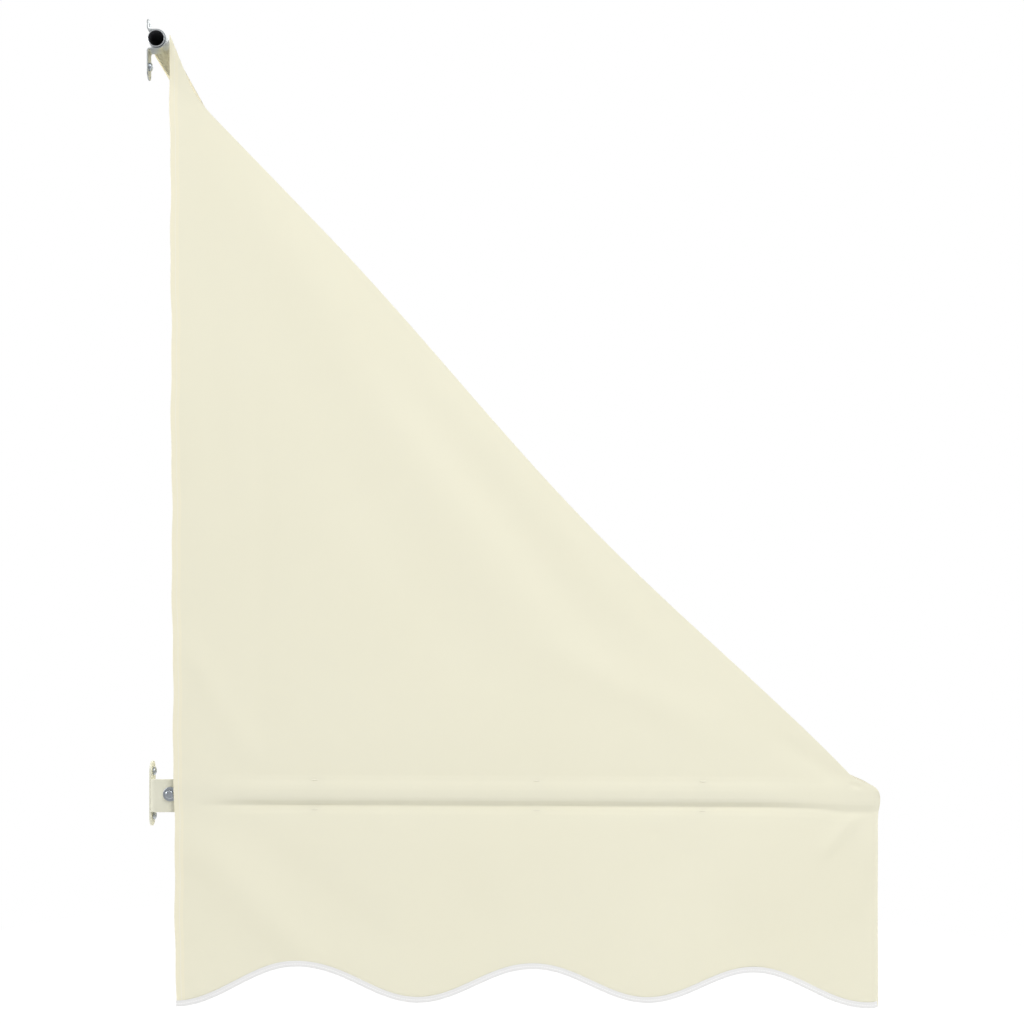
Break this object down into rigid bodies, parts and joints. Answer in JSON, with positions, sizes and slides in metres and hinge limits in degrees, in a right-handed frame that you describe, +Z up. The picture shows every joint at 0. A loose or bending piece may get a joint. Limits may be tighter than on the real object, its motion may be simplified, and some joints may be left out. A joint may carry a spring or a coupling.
{
  "type": "bistro awning",
  "caption": "Sloping cloth awning with closed sides and a scalloped valance on a folding steel tube frame with wall brackets.",
  "frame": {"origin": "on the wall plane, midway between the two lower brackets, at the height of the arm pivots", "axes": "+X along the wall to the right seen from the front, -Y out from the wall, +Z up"},
  "size_m": [1.5228, 1.2003, 1.6209],
  "materials": {
    "tube_steel": "galvanised, satin",
    "saddle_steel": "bright zinc plate",
    "bracket_steel": "light zinc-grey coat, semi-matt",
    "fastener_steel": "blue zinc plate",
    "elbow_plastic": "moulded, fine grain",
    "cover_cloth": "cream coated polyester, plain weave",
    "strap_cloth": "cream cloth strap",
    "binding_tape": "white woven binding tape"
  },
  "bodies": {
    "wall_frame": {"top_tube": "tube_steel", "left_tube_saddle": "saddle_steel", "left_saddle_screw": "fastener_steel", "left_wall_bracket": "bracket_steel", "left_bracket_screw_upper": "fastener_steel", "left_bracket_screw_lower": "fastener_steel", "left_pivot_bolt": "fastener_steel", "left_pivot_nut": "fastener_steel", "left_pivot_washer_outer": "fastener_steel", "left_pivot_washer_inner": "fastener_steel", "right_tube_saddle": "saddle_steel", "right_saddle_screw": "fastener_steel", "right_wall_bracket": "bracket_steel", "right_bracket_screw_upper": "fastener_steel", "right_bracket_screw_lower": "fastener_steel", "right_pivot_bolt": "fastener_steel", "right_pivot_nut": "fastener_steel", "right_pivot_washer_outer": "fastener_steel", "right_pivot_washer_inner": "fastener_steel", "top_panel": "cover_cloth", "front_binding": "binding_tape", "left_side_panel": "cover_cloth", "left_side_binding": "binding_tape", "right_side_panel": "cover_cloth", "right_side_binding": "binding_tape"},
    "front_frame": {"front_bar": "tube_steel", "left_arm": "tube_steel", "left_corner_elbow": "elbow_plastic", "left_elbow_screw_arm": "fastener_steel", "left_elbow_screw_bar": "fastener_steel", "left_arm_strap_1": "strap_cloth", "left_arm_strap_2": "strap_cloth", "left_arm_strap_3": "strap_cloth", "right_arm": "tube_steel", "right_corner_elbow": "elbow_plastic", "right_elbow_screw_arm": "fastener_steel", "right_elbow_screw_bar": "fastener_steel", "right_arm_strap_1": "strap_cloth", "right_arm_strap_2": "strap_cloth", "right_arm_strap_3": "strap_cloth", "bar_strap_1": "strap_cloth", "bar_strap_2": "strap_cloth", "bar_strap_3": "strap_cloth", "bar_strap_4": "strap_cloth"}
  },
  "joints": [
    {"name": "frame_fold", "type": "hinge", "parent": "wall_frame", "child": "front_frame", "pos_m": [0, -0.03614, 0], "axis": [-1, 0, 0], "range_deg": [0, 86], "deforming": ["top_panel", "front_binding", "left_side_panel", "left_side_binding", "right_side_panel", "right_side_binding"]}
  ]
}
